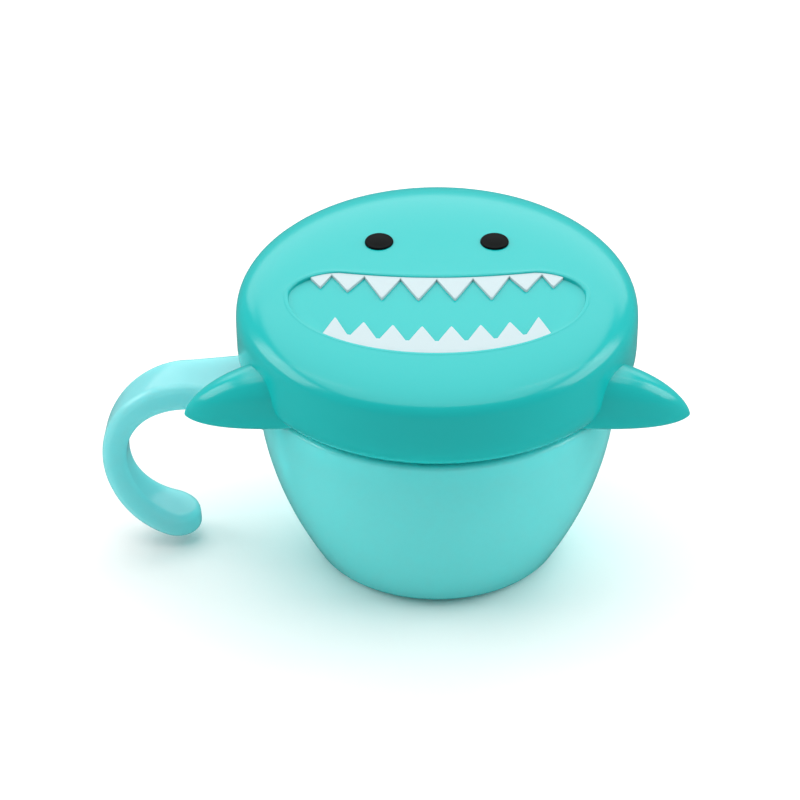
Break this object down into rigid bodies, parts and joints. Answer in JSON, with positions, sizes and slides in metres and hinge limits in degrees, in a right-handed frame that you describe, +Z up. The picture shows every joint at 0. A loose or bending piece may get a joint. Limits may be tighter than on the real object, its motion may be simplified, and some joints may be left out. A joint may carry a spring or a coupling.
{
  "type": "toddler snack container",
  "caption": "Round see-through snack cup with an open hook handle, a soft-flapped finger trap in its mouth, and a lift-off lid shaped as a smiling shark's head with two side fins.",
  "frame": {"origin": "the centre of the cup's flat foot", "axes": "+Z up along the cup's axis, the shark's face looks to -Y, the hook handle stands out along -X"},
  "size_m": [0.1479, 0.1, 0.0815],
  "materials": {
    "cup_plastic": "see-through aqua polypropylene, glossy",
    "lid_plastic": "opaque aqua polypropylene, semi-gloss",
    "eye_plastic": "black inserts, semi-gloss",
    "tooth_plastic": "white inserts, satin",
    "trap_plastic": "pale aqua polypropylene ring",
    "trap_soft": "soft pale aqua elastomer, matt"
  },
  "bodies": {
    "root": {"cup": "cup_plastic", "handle": "cup_plastic"},
    "finger_trap": {"trap_ring": "trap_plastic", "trap_membrane": "trap_soft"},
    "lid": {"lid_shell": "lid_plastic", "left_fin": "lid_plastic", "right_fin": "lid_plastic", "left_eye": "eye_plastic", "right_eye": "eye_plastic", "upper_teeth": "tooth_plastic", "lower_teeth": "tooth_plastic"},
    "flap_1": {"flap_1": "trap_soft"},
    "flap_2": {"flap_2": "trap_soft"},
    "flap_3": {"flap_3": "trap_soft"},
    "flap_4": {"flap_4": "trap_soft"},
    "flap_5": {"flap_5": "trap_soft"},
    "flap_6": {"flap_6": "trap_soft"},
    "flap_7": {"flap_7": "trap_soft"},
    "flap_8": {"flap_8": "trap_soft"}
  },
  "joints": [
    {"name": "trap_lift", "type": "slide", "parent": "root", "child": "finger_trap", "axis": [0, 0, 1], "range_m": [0, 0.045]},
    {"name": "lid_lift", "type": "slide", "parent": "finger_trap", "child": "lid", "axis": [0, 0, 1], "range_m": [0, 0.06]},
    {"name": "flap_1_bend", "type": "hinge", "parent": "finger_trap", "child": "flap_1", "pos_m": [0.0253, 0, 0.0582], "axis": [0, -1, 0], "range_deg": [-30, 60], "stiffness_Nm_per_rad": 0.003},
    {"name": "flap_2_bend", "type": "hinge", "parent": "finger_trap", "child": "flap_2", "pos_m": [0.01789, 0.01789, 0.0582], "axis": [0.7071, -0.7071, 0], "range_deg": [-30, 60], "stiffness_Nm_per_rad": 0.003},
    {"name": "flap_3_bend", "type": "hinge", "parent": "finger_trap", "child": "flap_3", "pos_m": [0, 0.0253, 0.0582], "axis": [1, 0, 0], "range_deg": [-30, 60], "stiffness_Nm_per_rad": 0.003},
    {"name": "flap_4_bend", "type": "hinge", "parent": "finger_trap", "child": "flap_4", "pos_m": [-0.01789, 0.01789, 0.0582], "axis": [0.7071, 0.7071, 0], "range_deg": [-30, 60], "stiffness_Nm_per_rad": 0.003},
    {"name": "flap_5_bend", "type": "hinge", "parent": "finger_trap", "child": "flap_5", "pos_m": [-0.0253, 0, 0.0582], "axis": [0, 1, 0], "range_deg": [-30, 60], "stiffness_Nm_per_rad": 0.003},
    {"name": "flap_6_bend", "type": "hinge", "parent": "finger_trap", "child": "flap_6", "pos_m": [-0.01789, -0.01789, 0.0582], "axis": [-0.7071, 0.7071, 0], "range_deg": [-30, 60], "stiffness_Nm_per_rad": 0.003},
    {"name": "flap_7_bend", "type": "hinge", "parent": "finger_trap", "child": "flap_7", "pos_m": [0, -0.0253, 0.0582], "axis": [-1, 0, 0], "range_deg": [-30, 60], "stiffness_Nm_per_rad": 0.003},
    {"name": "flap_8_bend", "type": "hinge", "parent": "finger_trap", "child": "flap_8", "pos_m": [0.01789, -0.01789, 0.0582], "axis": [-0.7071, -0.7071, 0], "range_deg": [-30, 60], "stiffness_Nm_per_rad": 0.003}
  ]
}
